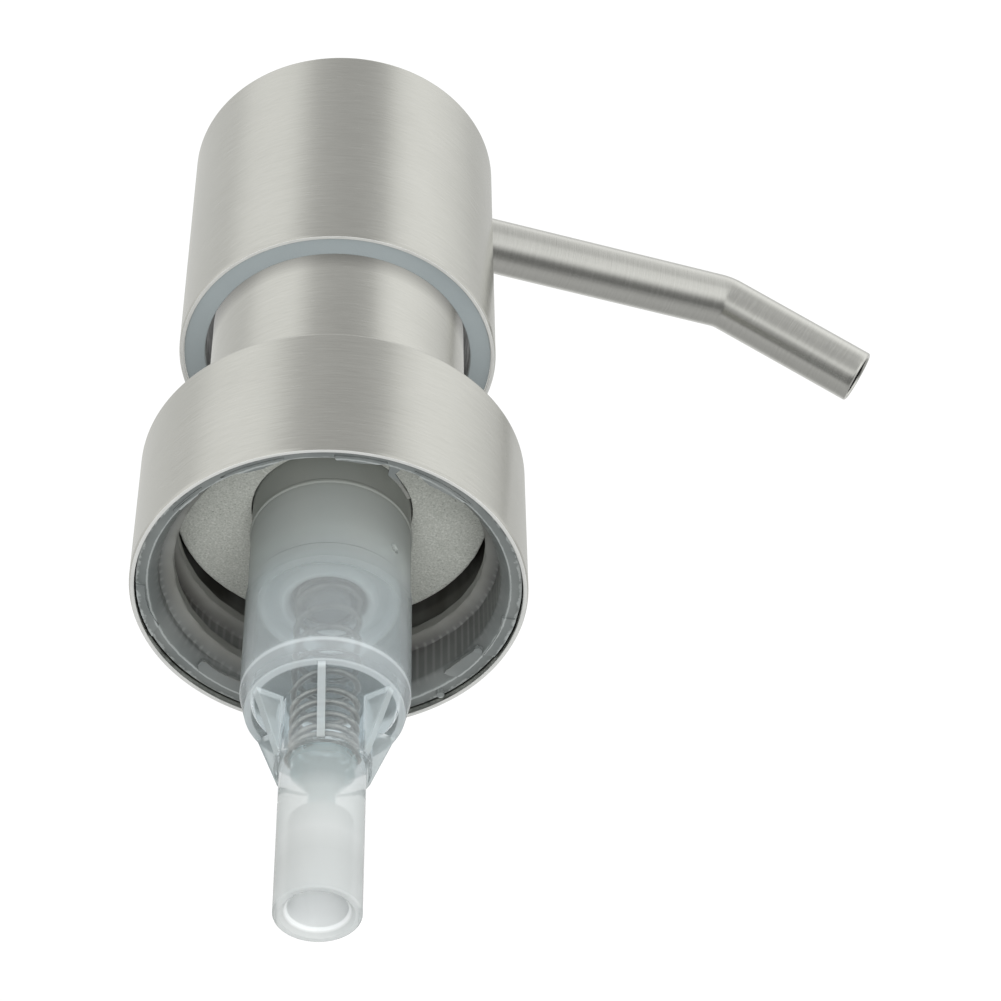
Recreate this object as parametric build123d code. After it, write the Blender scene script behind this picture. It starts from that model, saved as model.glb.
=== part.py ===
from build123d import *
import os
from math import sin, cos, tan, radians, degrees, atan2, sqrt, asin

# Press-action liquid pump for a bottle with a 28/400 screw neck.
# Millimetres. Origin: centre of the closure's lower rim, on the pump axis.
# +Z up along the pump axis, +X towards the spout.

# ---------------------------------------------------------------- dimensions
# closure (outer steel ring with its plastic threaded insert)
closure_r = 16.5          # outside radius of the ring, 33 mm across
closure_h = 14.2
steel_t = 0.43            # wall of all the formed steel shells
closure_hole_r = 11.0     # hole in the ring's top, round the neck
rim_round = 0.12
top_round = 0.25
insert_r = closure_r - steel_t - 0.02
insert_bore_r = 14.2      # root of the internal thread
insert_z0 = 0.6
insert_mouth_r = 15.0     # lead-in at the rim, narrowing to the bore
insert_mouth_z = 1.8
insert_roof_z = 12.45     # underside of the insert's roof
insert_hole_r = 11.06
thread_pitch = 4.23       # six threads to the inch
thread_crest_r = 13.0
thread_turns = 1.3
thread_start_az = -265.0  # azimuth where the bead starts, degrees
thread_start_z = 2.84     # bead's mid height at its start

# foam gasket
gasket_z0, gasket_z1 = 10.0, 11.2
gasket_r, gasket_hole_r = 13.5, 6.86

# pump cylinder (housing)
flange_z0, flange_z1, flange_r = 11.2, 12.3, 13.3
barrel_r = 6.85           # lower, thicker stretch
barrel_top_r = 6.75       # above the shoulder
barrel_bore_r = 5.95
shoulder_z = -0.6
bead_z = 6.7
collar_r, collar_z1 = 7.0, 17.5
barrel_floor_z = -12.4    # inside
barrel_end_z = -13.2      # flat underside of the barrel
barrel_end_r = 6.4        # the wall tapers to this radius
barrel_cone_z = -11.3     # where the taper starts
chamber_r = 3.85          # outside of the spring chamber
chamber_bore_r = 3.15
spring_seat_z = -18.2
chamber_z0 = -19.1
pocket_r = 2.3            # ball pocket
seat_top_z, seat_low_z = -19.6, -21.6
inlet_r = 1.0
socket_z0 = -33.14        # lower end of the dip-tube socket
socket_stop_z = -24.1
socket_r = 3.37
socket_bore_r = 2.3
gusset_t = 0.77
gusset_top_r, gusset_low_r = 6.3, 4.3
gusset_az = [-167.6 + 60.0 * i for i in range(6)]
vent_az, vent_z, vent_r = -53.0, 1.5, 0.45

# inlet ball
ball_r = 1.7
ball_lift = 0.9

# stem guide (snapped into the cylinder, carries the neck sleeve)
neck_r = 10.85
neck_bore_r = 9.7
neck_top_z = 33.0
guide_roof_z0, guide_roof_z1 = 25.8, 27.0
guide_low_z = 6.5
guide_bore_r = 4.07
guide_plug_r = 5.88
web_z0, web_z1 = 18.0, 19.2
snap_in_r, snap_out_r = 7.42, 8.5

# neck sleeve
sleeve_r = 11.36
sleeve_z0, sleeve_z1 = 14.26, 33.5

# stem, rod and piston
stem_r, stem_bore_r = 4.0, 2.6
stem_z0, stem_z1 = 5.05, 48.4
rod_plug_r = 2.58
rod_shaft_r = 2.4
rod_bore_r = 1.1
rod_flange_r = 3.0
piston_r = 5.90
piston_bore_r = 2.45
piston_low_z, piston_top_z = -1.4, 4.8
piston_slip = 1.0
stroke = 10.2

# return spring
spring_mean_r, spring_wire_r = 2.55, 0.27
spring_turns = 7.6

# head
head_r = 14.265
head_z0, head_z1 = 29.74, 56.63
skirt_in_r = 11.95        # inside of the plastic skirt
skirt_up = 0.25           # its face is set back from the shell's edge
head_roof_z0, head_roof_z1 = 45.5, 47.0
boss_r, boss_z0, boss_z1 = 5.7, 38.2, 55.4
boss_bore_r = 4.03

# spout
spout_z = 51.67
spout_r, spout_bore_r = 2.60, 2.20
spout_x0 = 2.6
spout_bend_x = 38.98
spout_bend_deg = 26.4
spout_bend_r = 3.0        # on the centre line
spout_tip_len = 15.4      # from the bend point to the mouth


def turned(points):
    """Solid of revolution about Z from (radius, height) points."""
    return revolve(make_face(Plane.XZ * Polyline(*points, close=True)), Axis.Z)


def tube(r_out, r_in, z0, z1):
    return turned([(r_in, z0), (r_out, z0), (r_out, z1), (r_in, z1)])


def rod(r, z0, z1):
    return Pos(0, 0, (z0 + z1) / 2) * Cylinder(r, z1 - z0)


# ---------------------------------------------------------------- closure
# Steel ring: a cup turned upside down with a large hole in its top.
q = rim_round
cap_shell = turned([
    (closure_hole_r, closure_h - steel_t),
    (closure_r - steel_t, closure_h - steel_t),
    (closure_r - steel_t, q), (closure_r - steel_t + q, 0),
    (closure_r - q, 0), (closure_r, q),
    (closure_r, closure_h - top_round), (closure_r - top_round, closure_h),
    (closure_hole_r, closure_h)])

# Plastic insert: wider mouth, plain bore, one bead of right-hand thread, a roof
# that pulls the cylinder's flange down on the bottle.
insert_body = turned([
    (insert_bore_r, insert_mouth_z), (insert_mouth_r, insert_z0), (insert_r, insert_z0),
    (insert_r, closure_h - steel_t - 0.02),
    (insert_hole_r, closure_h - steel_t - 0.02),
    (insert_hole_r, insert_roof_z), (insert_bore_r, insert_roof_z)])
helix_r = insert_bore_r
bead_h = thread_pitch * thread_turns
helix = Helix(pitch=thread_pitch, height=bead_h, radius=helix_r)
start = helix @ 0
section_plane = Plane(origin=start, x_dir=(1, 0, 0), z_dir=helix % 0)
depth = insert_bore_r - thread_crest_r
section = section_plane * make_face(Polyline(
    (0.35, -1.05), (-depth, -0.42), (-depth, 0.42), (0.35, 1.05), close=True))
bead = sweep(section, path=helix, is_frenet=True)
bead = Pos(0, 0, thread_start_z) * (Rot(0, 0, thread_start_az) * bead)
threaded_insert = insert_body + bead

# ---------------------------------------------------------------- gasket
gasket = tube(gasket_r, gasket_hole_r, gasket_z0, gasket_z1)

# ---------------------------------------------------------------- cylinder
profile = [
    # outside, from the socket's mouth up
    (socket_bore_r + 0.55, socket_z0), (socket_r - 0.15, socket_z0),
    (socket_r, socket_z0 + 0.15), (socket_r + 0.04, chamber_z0),
    (chamber_r - 0.1, chamber_z0), (chamber_r, chamber_z0 + 0.1),
    (chamber_r, barrel_end_z), (barrel_end_r, barrel_end_z), (barrel_r, barrel_cone_z),
    (barrel_r, shoulder_z - 0.1), (barrel_top_r, shoulder_z),
    (barrel_top_r, bead_z - 0.2), (barrel_r, bead_z - 0.1),
    (barrel_r, bead_z + 0.1), (barrel_top_r, bead_z + 0.2),
    (barrel_top_r, flange_z0), (flange_r, flange_z0), (flange_r, flange_z1),
    (collar_r, flange_z1), (collar_r, collar_z1 - 1.6),
    (collar_r + 0.3, collar_z1 - 1.3), (collar_r + 0.3, collar_z1 - 0.9),
    (collar_r, collar_z1),
    # inside, from the top down
    (barrel_bore_r, collar_z1), (barrel_bore_r, barrel_floor_z + 0.6),
    (barrel_bore_r - 0.35, barrel_floor_z), (chamber_bore_r, barrel_floor_z), (chamber_bore_r, spring_seat_z),
    (pocket_r, spring_seat_z), (pocket_r, seat_top_z), (inlet_r, seat_low_z),
    (inlet_r, socket_stop_z), (socket_bore_r, socket_stop_z),
    (socket_bore_r, socket_z0 + 0.64),
]
pump_cylinder = turned(profile)

# Six gussets under the barrel, tapering to the foot of the spring chamber.
gusset_face = make_face(Plane.XZ * Polyline(
    (chamber_r - 0.25, barrel_end_z + 0.3), (gusset_top_r, barrel_end_z + 0.3),
    (gusset_top_r, barrel_end_z), (gusset_low_r, chamber_z0),
    (chamber_r - 0.25, chamber_z0), close=True))
gusset = extrude(gusset_face, gusset_t / 2, both=True)
for az in gusset_az:
    pump_cylinder += Rot(0, 0, az) * gusset

# Four fingers over the ball pocket keep the ball in.
finger_face = make_face(Plane.XZ * Polyline(
    (1.80, spring_seat_z - 0.3), (pocket_r + 0.1, spring_seat_z - 0.3),
    (pocket_r + 0.1, spring_seat_z + 0.02), (2.2, spring_seat_z + 0.02),
    (2.2, spring_seat_z + 1.25), (1.25, spring_seat_z + 1.25),
    (1.25, spring_seat_z + 0.98), (1.80, spring_seat_z + 0.75), close=True))
finger = extrude(finger_face, 0.4, both=True)
for i in range(4):
    pump_cylinder += Rot(0, 0, 45 + 90 * i) * finger

# Air vent through the barrel wall.
vent = Rot(0, 0, vent_az) * (Pos(6.4, 0, vent_z) * (Rot(0, 90, 0) * Cylinder(vent_r, 2.4)))
pump_cylinder -= vent

# ---------------------------------------------------------------- inlet ball
seat_half = atan2(pocket_r - inlet_r, seat_top_z - seat_low_z)
seat_apex = seat_low_z - inlet_r / tan(seat_half)
ball_z = seat_apex + ball_r / sin(seat_half) + 0.01
inlet_ball = Pos(0, 0, ball_z) * Sphere(ball_r)

# ---------------------------------------------------------------- stem guide
# A double cup: neck wall outside, guide tube and plug inside, snap skirt
# over the cylinder's collar, well in the top for the head's boss.
stem_guide = turned([
    (guide_bore_r, guide_low_z), (guide_plug_r, guide_low_z),
    (guide_plug_r, web_z0), (snap_in_r, web_z0),
    (snap_in_r, collar_z1 - 1.5), (collar_r + 0.1, collar_z1 - 1.75),
    (collar_r + 0.1, collar_z1 - 2.3), (snap_in_r, collar_z1 - 2.7),
    (snap_in_r, 13.0), (snap_out_r, 13.0), (snap_out_r, web_z0),
    (neck_bore_r, web_z0), (neck_bore_r, flange_z1), (neck_r, flange_z1),
    (neck_r, neck_top_z), (neck_bore_r, neck_top_z),
    (neck_bore_r, guide_roof_z1), (guide_bore_r, guide_roof_z1)])
hollow = tube(neck_bore_r, guide_plug_r, web_z1, guide_roof_z0)
stem_guide -= hollow

# ---------------------------------------------------------------- neck sleeve
neck_sleeve = turned([
    (neck_r + 0.02, sleeve_z0), (sleeve_r - 0.08, sleeve_z0), (sleeve_r, sleeve_z0 + 0.08),
    (sleeve_r, sleeve_z1 - 0.3), (sleeve_r - 0.3, sleeve_z1),
    (neck_bore_r + 0.2, sleeve_z1), (neck_bore_r + 0.2, neck_top_z + 0.02),
    (neck_r + 0.02, neck_top_z + 0.02)])

# ---------------------------------------------------------------- stem
stem = turned([
    (stem_bore_r, stem_z0), (stem_r - 0.2, stem_z0), (stem_r, stem_z0 + 0.2),
    (stem_r, stem_z1 - 0.3), (stem_r - 0.3, stem_z1), (stem_bore_r, stem_z1)])

# ---------------------------------------------------------------- piston rod
rod_top_z = 11.0
piston_rod = turned([
    (0, -1.5), (1.7, -1.5), (1.9, -1.2), (1.9, 0.0), (rod_flange_r, 0.0),
    (rod_flange_r, 0.75), (rod_shaft_r, 1.7), (rod_shaft_r, stem_z0 + 0.1),
    (rod_plug_r, stem_z0 + 0.3), (rod_plug_r, rod_top_z),
    (rod_bore_r, rod_top_z), (rod_bore_r, 4.0), (0, 4.0)])
groove = Pos(rod_shaft_r, 0, 3.15) * Box(1.0, 1.1, 3.1)
port = Pos(0, 0, 4.5) * (Rot(0, 90, 0) * Cylinder(0.45, 3 * rod_shaft_r))
for i in range(4):
    piston_rod -= Rot(0, 0, 90 * i) * groove
for i in range(2):
    piston_rod -= Rot(0, 0, 90 * i) * port

# ---------------------------------------------------------------- piston
piston = turned([
    (3.22, -1.05), (3.55, piston_low_z), (3.85, piston_low_z), (4.15, -0.45),
    (4.95, -0.45), (5.3, piston_low_z), (piston_r, piston_low_z),
    (piston_r, -0.4), (5.6, 0.1), (5.6, 3.3), (piston_r, 3.8),
    (piston_r, piston_top_z), (5.45, piston_top_z), (5.0, 2.5), (3.65, 2.5),
    (3.55, 4.0), (piston_bore_r, 4.0), (piston_bore_r, 1.79),
    (3.08, 0.80), (3.08, 0.3), (3.22, 0.0)])

# ---------------------------------------------------------------- spring
spring_z0 = spring_seat_z + spring_wire_r + 0.03
spring_z1 = -spring_wire_r - 0.03
coil = Helix(pitch=(spring_z1 - spring_z0) / spring_turns, height=spring_z1 - spring_z0,
             radius=spring_mean_r)
coil_start = Plane(origin=coil @ 0, x_dir=(1, 0, 0), z_dir=coil % 0)
return_spring = Pos(0, 0, spring_z0) * sweep(coil_start * Circle(spring_wire_r), path=coil, is_frenet=True)

# ---------------------------------------------------------------- spout
half = radians(spout_bend_deg)
tip = (spout_bend_x + spout_tip_len * cos(half), 0, spout_z - spout_tip_len * sin(half))
centre_line = FilletPolyline((spout_x0, 0, spout_z), (spout_bend_x, 0, spout_z), tip,
                             radius=spout_bend_r)
mouth = Plane(origin=(spout_x0, 0, spout_z), x_dir=(0, 1, 0), z_dir=(1, 0, 0))
spout_tube = sweep(mouth * Circle(spout_r), path=centre_line) - sweep(mouth * Circle(spout_bore_r), path=centre_line)

# ---------------------------------------------------------------- head
head_shell = turned([
    (head_r - steel_t, head_z0 + 0.1), (head_r - steel_t + 0.1, head_z0),
    (head_r - 0.1, head_z0), (head_r, head_z0 + 0.1), (head_r, head_z1 - top_round),
    (head_r - top_round, head_z1), (0, head_z1), (0, head_z1 - steel_t),
    (head_r - steel_t, head_z1 - steel_t)])
cross = Plane(origin=(0, 0, spout_z), x_dir=(0, 1, 0), z_dir=(1, 0, 0))


def along_x(r, x0, x1, z=spout_z):
    return Pos((x0 + x1) / 2, 0, z) * (Rot(0, 90, 0) * Cylinder(r, x1 - x0))


head_shell -= along_x(spout_r + 0.02, 5.0, head_r + 1.0)

# Plastic insert: skirt that lines the shell, roof, and a boss that holds the
# stem from below and the spout from the side.
outer = head_r - steel_t - 0.02
head_insert = turned([
    (skirt_in_r, head_z0 + skirt_up), (outer, head_z0 + skirt_up),
    (outer, head_z1 - steel_t - 0.2),
    (skirt_in_r, head_z1 - steel_t - 0.2), (skirt_in_r, head_roof_z1),
    (boss_r, head_roof_z1), (boss_r, boss_z1), (0, boss_z1), (0, stem_z1 + 0.4),
    (boss_bore_r, stem_z1 + 0.4), (boss_bore_r, boss_z0), (boss_r, boss_z0),
    (boss_r, head_roof_z0), (skirt_in_r, head_roof_z0)])
# Solid pad from the boss to the wall on the spout side, bored for the spout.
pad = Pos((boss_r + skirt_in_r) / 2 - 0.3, 0, (head_roof_z1 + boss_z1) / 2 - 0.2) * Box(
    skirt_in_r - boss_r + 1.4, 7.6, boss_z1 - head_roof_z1 + 0.4)
head_insert = head_insert + pad
head_insert -= along_x(spout_r + 0.01, spout_x0 - 0.02, head_r)
head_insert -= along_x(1.9, -1.5, spout_x0 + 0.5)
head_insert -= rod(1.9, stem_z1, spout_z)

# ---------------------------------------------------------------- write
nodes = {
    "cap_shell": cap_shell,
    "threaded_insert": threaded_insert,
    "gasket": gasket,
    "pump_cylinder": pump_cylinder,
    "inlet_ball": inlet_ball,
    "stem_guide": stem_guide,
    "neck_sleeve": neck_sleeve,
    "stem": stem,
    "piston_rod": piston_rod,
    "piston": piston,
    "return_spring": return_spring,
    "head_shell": head_shell,
    "head_insert": head_insert,
    "spout_tube": spout_tube,
}
os.makedirs("parts", exist_ok=True)
for name, shape in nodes.items():
    export_step(shape, f"parts/{name}.step")
    box = shape.bounding_box()
    print(name, "valid", shape.is_valid, "solids", len(shape.solids()),
          "volume", round(shape.volume, 2), "z", round(box.min.Z, 3), round(box.max.Z, 3))
print("spout tip", [round(v, 3) for v in tip], "ball centre z", round(ball_z, 3))
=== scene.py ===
import bmesh
import bpy
import math
import random
from mathutils import Matrix, Vector, noise


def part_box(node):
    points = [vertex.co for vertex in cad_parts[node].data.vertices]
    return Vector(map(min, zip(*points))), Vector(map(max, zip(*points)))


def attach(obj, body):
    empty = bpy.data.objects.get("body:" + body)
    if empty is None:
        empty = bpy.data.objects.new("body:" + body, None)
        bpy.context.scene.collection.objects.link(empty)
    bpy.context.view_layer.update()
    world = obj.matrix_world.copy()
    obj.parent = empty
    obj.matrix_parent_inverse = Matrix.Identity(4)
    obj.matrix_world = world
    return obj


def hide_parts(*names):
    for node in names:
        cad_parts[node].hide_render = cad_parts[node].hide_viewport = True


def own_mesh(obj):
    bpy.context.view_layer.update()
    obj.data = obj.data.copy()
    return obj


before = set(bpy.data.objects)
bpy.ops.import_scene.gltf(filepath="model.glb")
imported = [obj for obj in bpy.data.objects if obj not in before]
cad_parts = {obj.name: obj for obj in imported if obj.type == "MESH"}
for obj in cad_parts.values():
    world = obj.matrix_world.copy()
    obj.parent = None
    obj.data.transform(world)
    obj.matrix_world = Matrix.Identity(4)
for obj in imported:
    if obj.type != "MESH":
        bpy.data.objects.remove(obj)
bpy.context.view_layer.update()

MM = 0.001
RIBS = 104                # knurl ribs on the insert's outside
scene = bpy.context.scene
random.seed(7)


def box_mm(node):
    """Lowest and highest corner of a CAD node, in millimetres."""
    lo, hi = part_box(node)
    return [v * 1000 for v in lo], [v * 1000 for v in hi]


# ------------------------------------------------------------------ geometry
def rounded(points):
    """Closed (radius, height) outline with rounded corners.
    Each point is (r, z) or (r, z, corner radius)."""
    out = []
    n = len(points)
    for i, p in enumerate(points):
        fil = p[2] if len(p) > 2 else 0.0
        b = Vector(p[:2])
        if fil <= 0:
            out.append((b.x, b.y))
            continue
        a, c = Vector(points[i - 1][:2]), Vector(points[(i + 1) % n][:2])
        u, v = (a - b), (c - b)
        lu, lv = u.length, v.length
        u.normalize(); v.normalize()
        ang = math.acos(max(-1, min(1, u.dot(v))))
        t = min(fil / math.tan(ang / 2), 0.49 * lu, 0.49 * lv)
        rad = t * math.tan(ang / 2)
        centre = b + (u + v).normalized() * (rad / math.sin(ang / 2))
        s, e = b + u * t, b + v * t
        a0 = math.atan2(s.y - centre.y, s.x - centre.x)
        a1 = math.atan2(e.y - centre.y, e.x - centre.x)
        d = (a1 - a0 + math.pi) % (2 * math.pi) - math.pi
        steps = max(3, int(abs(d) / math.radians(13)))
        for k in range(steps + 1):
            w = a0 + d * k / steps
            out.append((centre.x + rad * math.cos(w), centre.y + rad * math.sin(w)))
    return out


def split_long(outline, longest):
    """Adds points on an outline's long runs, so that no step is longer than this."""
    out = []
    n = len(outline)
    for i in range(n):
        a, b = outline[i], outline[(i + 1) % n]
        out.append(a)
        length = math.hypot(b[0] - a[0], b[1] - a[1])
        k = int(length // longest)
        for j in range(1, k + 1):
            w = j / (k + 1)
            out.append((a[0] + (b[0] - a[0]) * w, a[1] + (b[1] - a[1]) * w))
    return out


def add_brush(me, along, around):
    """Stores the direction of the finish: a vector that is constant across the grain's length."""
    attr = me.attributes.new("brush", "FLOAT_VECTOR", "POINT")
    attr.data.foreach_set("vector", [c for a, t in zip(along, around)
                                     for c in (math.cos(t[0]) * t[1], math.sin(t[0]) * t[1], a)])


def finish_mesh(name, bm, smooth_deg=32, weighted=True):
    bmesh.ops.recalc_face_normals(bm, faces=bm.faces)
    me = bpy.data.meshes.new(name)
    bm.to_mesh(me)
    bm.free()
    ob = bpy.data.objects.new(name, me)
    scene.collection.objects.link(ob)
    for p in me.polygons:
        p.use_smooth = True
    me.set_sharp_from_angle(angle=math.radians(smooth_deg))
    if weighted:
        w = ob.modifiers.new("normals", "WEIGHTED_NORMAL")
        w.mode = "FACE_AREA"
        w.weight = 60
        w.keep_sharp = True
    return ob


def lathe(name, points, seg=224, longest=None, wobble=None, smooth_deg=32):
    """Turned piece about Z from an outline in millimetres."""
    outline = rounded(points)
    if longest:
        outline = split_long(outline, longest)
    bm = bmesh.new()
    grain = bm.verts.layers.float_vector.new("brush")
    uv = bm.loops.layers.uv.new("grain")
    rings, s = [], 0.0
    for i, (r, z) in enumerate(outline):
        if i:
            s += math.hypot(r - outline[i - 1][0], z - outline[i - 1][1])
        if r < 1e-6:
            v = bm.verts.new((0, 0, z * MM))
            v[grain] = (0, 0, s * MM)
            rings.append(([v], s))
            continue
        ring = []
        for j in range(seg):
            t = 2 * math.pi * j / seg
            rr, zz = (r, z) if wobble is None else wobble(r, z, t)
            v = bm.verts.new((rr * math.cos(t) * MM, rr * math.sin(t) * MM, zz * MM))
            v[grain] = (r * math.cos(t) * MM, r * math.sin(t) * MM, s * MM)
            ring.append(v)
        rings.append((ring, s))
    total = s + 1
    for i in range(len(rings)):
        (a, sa), (b, sb) = rings[i], rings[(i + 1) % len(rings)]
        if len(a) == 1 and len(b) == 1:
            continue
        for j in range(seg):
            k = (j + 1) % seg
            quad = []
            for ring, idx in ((a, j), (a, k), (b, k), (b, j)):
                v = ring[0] if len(ring) == 1 else ring[idx]
                if v not in [q[0] for q in quad]:
                    along = sa if ring is a else sb
                    u = (j if idx == j else j + 1) / seg
                    quad.append((v, (u, along / total)))
            if len(quad) < 3:
                continue
            f = bm.faces.new([q[0] for q in quad])
            for loop, q in zip(f.loops, quad):
                loop[uv].uv = q[1]
    return finish_mesh(name, bm, smooth_deg)


def tube_along(name, path, r_out, r_in, seg=96, lip=0.16):
    """Open-ended tube of two walls along a path in the XZ plane, the far end rounded over and the near end closed flat.
    Millimetres.
    """
    pts = [Vector((x, 0, z)) for x, z in path]
    s = [0.0]
    for a, b in zip(pts, pts[1:]):
        s.append(s[-1] + (b - a).length)
    frames = []
    for i, p in enumerate(pts):
        d = (pts[min(i + 1, len(pts) - 1)] - pts[max(i - 1, 0)]).normalized()
        frames.append((p, d, Vector((0, 1, 0)), d.cross(Vector((0, 1, 0)))))
    sections = []      # (centre, side, up, radius, distance)
    mid, half = (r_out + r_in) / 2, (r_out - r_in) / 2
    for i, (p, d, side, up) in enumerate(frames):
        sections.append((p, side, up, r_out, s[i]))
    p, d, side, up = frames[-1]
    for k in range(1, 7):
        w = math.pi * k / 7
        sections.append((p + d * half * math.sin(w) - d * half, side, up, mid + half * math.cos(w), s[-1] + 0.05 * k))
    for i in range(len(frames) - 1, -1, -1):
        p, d, side, up = frames[i]
        sections.append((p, side, up, r_in, s[-1] + 0.4 + (s[-1] - s[i])))
    bm = bmesh.new()
    grain = bm.verts.layers.float_vector.new("brush")
    uv = bm.loops.layers.uv.new("grain")
    rings = []
    # the outer wall's last station is pulled back by the lip's half thickness
    for n, (p, side, up, r, dist) in enumerate(sections):
        if n == len(frames) - 1 or n == len(frames) + 6:
            p = p - frames[-1][1] * half
        ring = []
        for j in range(seg):
            t = 2 * math.pi * j / seg
            q = p + side * (r * math.cos(t)) + up * (r * math.sin(t))
            v = bm.verts.new(q * MM)
            v[grain] = (r * math.cos(t) * MM, r * math.sin(t) * MM, dist * MM)
            ring.append(v)
        rings.append((ring, dist))
    total = rings[-1][1] + 1
    for i in range(len(rings)):
        (a, sa), (b, sb) = rings[i], rings[(i + 1) % len(rings)]
        for j in range(seg):
            k = (j + 1) % seg
            f = bm.faces.new((a[j], a[k], b[k], b[j]))
            for loop, u in zip(f.loops, ((j / seg, sa / total), ((j + 1) / seg, sa / total),
                                         ((j + 1) / seg, sb / total), (j / seg, sb / total))):
                loop[uv].uv = u
    return finish_mesh(name, bm, 40)


def joined(name, pieces):
    """One object from several, with a boolean union of closed solids."""
    base = pieces[0]
    for extra in pieces[1:]:
        m = base.modifiers.new("join", "BOOLEAN")
        m.operation, m.solver, m.object = "UNION", "EXACT", extra
    return applied(name, base, pieces)


def applied(name, base, used):
    dg = bpy.context.evaluated_depsgraph_get()
    dg.update()
    me = bpy.data.meshes.new_from_object(base.evaluated_get(dg), preserve_all_data_layers=True, depsgraph=dg)
    for o in used:
        bpy.data.objects.remove(o)
    me.name = name
    ob = bpy.data.objects.new(name, me)
    scene.collection.objects.link(ob)
    return ob


def prism(name, outline, axis_deg, thick):
    """Flat plate: an outline of (r, z) points in the plane at this azimuth, with thickness across it."""
    bm = bmesh.new()
    t = math.radians(axis_deg)
    out, side = Vector((math.cos(t), math.sin(t), 0)), Vector((-math.sin(t), math.cos(t), 0))
    a = [bm.verts.new((out * r + side * thick / 2 + Vector((0, 0, z))) * MM) for r, z in outline]
    b = [bm.verts.new((out * r - side * thick / 2 + Vector((0, 0, z))) * MM) for r, z in outline]
    bm.faces.new(a)
    bm.faces.new(list(reversed(b)))
    n = len(a)
    for i in range(n):
        bm.faces.new((a[i], b[i], b[(i + 1) % n], a[(i + 1) % n]))
    return finish_mesh(name, bm, 30, weighted=False)


# ------------------------------------------------------------------ node help
class Nodes:
    def __init__(self, name):
        self.mat = bpy.data.materials.new(name)
        self.mat.use_nodes = True
        self.t = self.mat.node_tree
        self.bsdf = self.t.nodes["Principled BSDF"]

    def new(self, kind, **kw):
        n = self.t.nodes.new(kind)
        for k, v in kw.items():
            setattr(n, k, v)
        return n

    def link(self, a, b):
        self.t.links.new(a, b)

    def noise(self, coords, scale, detail=2.0, rough=0.5, size=(1, 1, 1)):
        m = self.new("ShaderNodeMapping")
        m.inputs["Scale"].default_value = size
        n = self.new("ShaderNodeTexNoise")
        n.inputs["Scale"].default_value = scale
        n.inputs["Detail"].default_value = detail
        n.inputs["Roughness"].default_value = rough
        self.link(coords, m.inputs["Vector"])
        self.link(m.outputs["Vector"], n.inputs["Vector"])
        return n.outputs["Fac"]

    def remap(self, value, a, b, lo=0.0, hi=1.0):
        n = self.new("ShaderNodeMapRange")
        n.inputs["From Min"].default_value, n.inputs["From Max"].default_value = lo, hi
        n.inputs["To Min"].default_value, n.inputs["To Max"].default_value = a, b
        self.link(value, n.inputs["Value"])
        return n.outputs["Result"]

    def math(self, op, a, b=None):
        n = self.new("ShaderNodeMath", operation=op)
        for i, v in enumerate((a, b)):
            if v is None:
                continue
            if isinstance(v, (int, float)):
                n.inputs[i].default_value = v
            else:
                self.link(v, n.inputs[i])
        return n.outputs[0]

    def ramp(self, value, stops):
        n = self.new("ShaderNodeValToRGB")
        while len(n.color_ramp.elements) < len(stops):
            n.color_ramp.elements.new(0.5)
        for e, (pos, col) in zip(n.color_ramp.elements, stops):
            e.position = pos
            e.color = (*col, 1)
        self.link(value, n.inputs["Fac"])
        return n.outputs["Color"]

    def bump(self, height, strength, distance):
        n = self.new("ShaderNodeBump")
        n.inputs["Strength"].default_value = strength
        n.inputs["Distance"].default_value = distance
        self.link(height, n.inputs["Height"])
        self.link(n.outputs["Normal"], self.bsdf.inputs["Normal"])
        return n

    def set(self, **kw):
        for k, v in kw.items():
            self.bsdf.inputs[k.replace("_", " ")].default_value = v


def steel(name, low=(0.556, 0.555, 0.520), high=(0.662, 0.661, 0.625), rough=(0.20, 0.28), fine=1.0, bump=0.24):
    """Brushed stainless steel: very fine short lines round the piece, from the brush
    attribute. The highlight spreads across the lines, so the shader's tangent is turned."""
    m = Nodes(name)
    a = m.new("ShaderNodeAttribute", attribute_name="brush")
    v = a.outputs["Vector"]
    hair = m.noise(v, 1.0, 2.0, 0.55, (650, 650, 15000 * fine))
    lines = m.noise(v, 1.0, 3.0, 0.62, (330, 330, 7200 * fine))
    cloud = m.noise(v, 1.0, 2.0, 0.5, (120, 120, 150))
    both = m.math("ADD", m.math("MULTIPLY", hair, 0.55), m.math("MULTIPLY", lines, 0.45))
    tone = m.math("ADD", m.math("MULTIPLY", both, 0.8), m.math("MULTIPLY", cloud, 0.2))
    m.link(m.ramp(m.remap(tone, 0, 1, 0.3, 0.7), [(0.0, low), (1.0, high)]), m.bsdf.inputs["Base Color"])
    m.link(m.remap(both, rough[0], rough[1], 0.3, 0.7), m.bsdf.inputs["Roughness"])
    m.bump(both, bump, 0.00003)
    m.set(Metallic=1.0, Anisotropic=0.75, Anisotropic_Rotation=0.25)
    t = m.new("ShaderNodeTangent", direction_type="UV_MAP", uv_map="grain")
    m.link(t.outputs["Tangent"], m.bsdf.inputs["Tangent"])
    return m.mat


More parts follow.
